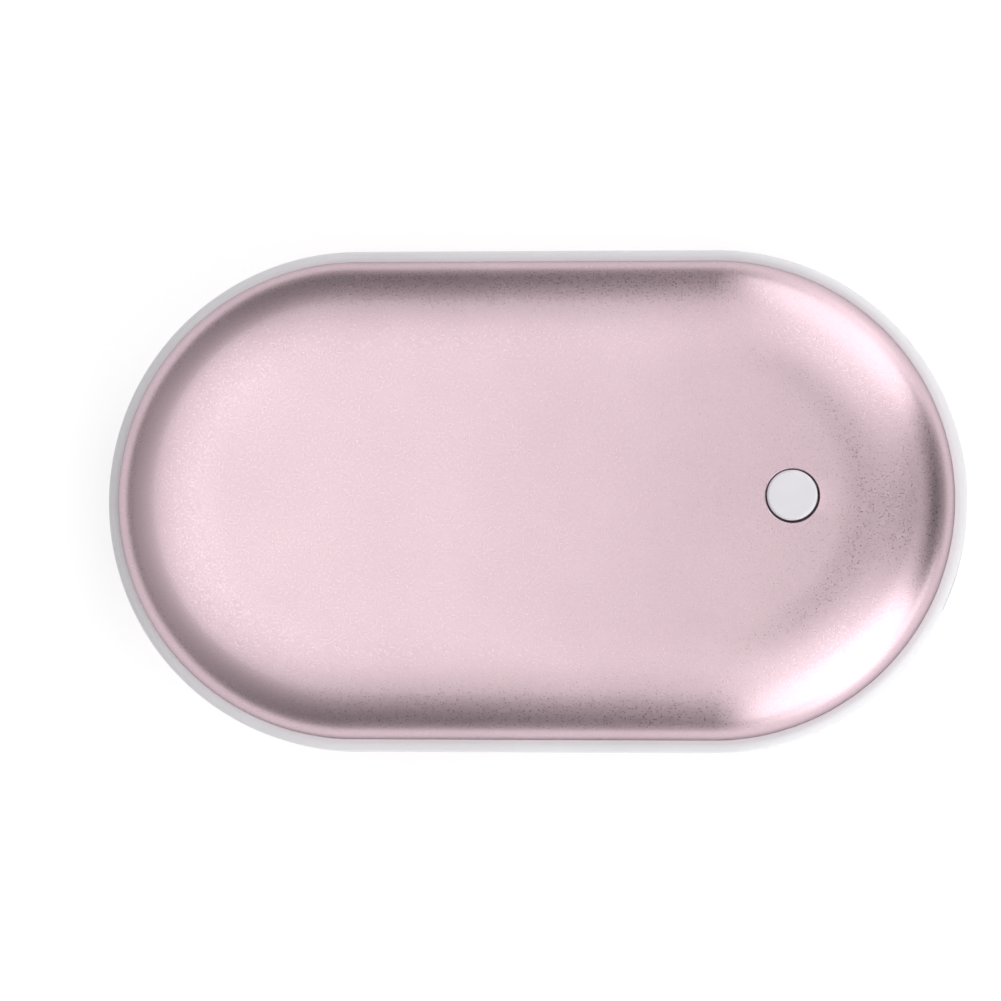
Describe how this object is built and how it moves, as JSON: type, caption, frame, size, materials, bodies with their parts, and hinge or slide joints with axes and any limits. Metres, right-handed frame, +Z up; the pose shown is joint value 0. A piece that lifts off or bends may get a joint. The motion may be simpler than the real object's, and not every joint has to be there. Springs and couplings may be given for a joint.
{
  "type": "rechargeable hand warmer",
  "caption": "Pill-shaped rechargeable hand warmer: pressed metal shells on a pale frame, heater films and cells inside, a push button on top and sockets at one end.",
  "frame": {"origin": "on the flat that the hand warmer rests on, under the middle of its body", "axes": "+X along the body towards the end with the button and the sockets, +Z up out of the face with the button, +Y across the body"},
  "size_m": [0.102, 0.0596, 0.0245],
  "materials": {
    "rose_aluminium": "bead-blasted and anodised, fine satin grain",
    "white_abs": "moulded, fine satin texture",
    "button_white": "moulded, semi-gloss",
    "collar_black": "moulded, matte",
    "shell_glue": "cured bead",
    "switch_black": "moulded, matte",
    "switch_steel": "stamped",
    "board_green": "solder mask over glass fibre laminate",
    "socket_steel": "nickel-plated, stamped",
    "socket_white": "moulded insulator",
    "socket_black": "moulded insulator",
    "contact_gold": "gold-plated",
    "lamp_resin": "moulded resin",
    "clear_plastic": "clear, polished",
    "chip_black": "moulded package",
    "ferrite_grey": "pressed ferrite",
    "capacitor_tan": "fired ceramic",
    "film_amber": "polyimide film",
    "heating_foil": "etched foil",
    "fibre_grey": "pressed fibre board",
    "cell_sleeve": "shrink sleeve over a steel can",
    "nickel": "pure nickel strip",
    "lead_black": "silicone insulation",
    "lead_red": "silicone insulation",
    "bead_resin": "dipped epoxy bead",
    "tray_black": "moulded, matte",
    "screw_steel": "zinc-plated"
  },
  "bodies": {
    "housing": {"top_shell": "rose_aluminium", "bottom_shell": "rose_aluminium", "mid_frame": "white_abs", "upper_shell_adhesive": "shell_glue", "lower_shell_adhesive": "shell_glue", "button_collar": "collar_black", "switch_base": "switch_black", "switch_cover": "switch_steel", "switch_dome": "switch_steel", "main_board": "board_green", "usb_output_shell": "socket_steel", "usb_output_tongue": "socket_white", "usb_output_contacts": "contact_gold", "charge_port_shell": "socket_steel", "charge_port_tongue": "socket_black", "charge_port_contacts": "contact_gold", "indicator_leds": "lamp_resin", "light_pipe": "clear_plastic", "control_chip": "chip_black", "charger_chip": "chip_black", "power_inductor": "ferrite_grey", "board_capacitors": "capacitor_tan", "upper_heater_film": "film_amber", "lower_heater_film": "film_amber", "upper_heater_trace": "heating_foil", "lower_heater_trace": "heating_foil", "upper_insulation_board": "fibre_grey", "lower_insulation_board": "fibre_grey", "upper_heater_leads": "lead_red", "lower_heater_leads": "lead_red", "thermistor": "bead_resin", "battery_cell_left": "cell_sleeve", "battery_cell_right": "cell_sleeve", "cell_washers": "fibre_grey", "nickel_strip_positive": "nickel", "nickel_strip_negative": "nickel", "battery_lead_negative": "lead_black", "battery_tray": "tray_black", "tray_screws": "screw_steel", "board_screws": "screw_steel"},
    "button": {"power_button": "button_white"},
    "plunger": {"switch_plunger": "switch_black"}
  },
  "joints": [
    {"name": "button_press", "type": "slide", "parent": "housing", "child": "button", "axis": [0, 0, -1], "range_m": [0, 0.0004], "stiffness_N_per_m": 4000},
    {"name": "switch_plunger_press", "type": "slide", "parent": "housing", "child": "plunger", "axis": [0, 0, -1], "range_m": [0, 0.0004], "deforming": ["switch_dome"]}
  ],
  "couplings": [
    {"joint": "switch_plunger_press", "follows": "button_press", "ratio": 1}
  ]
}
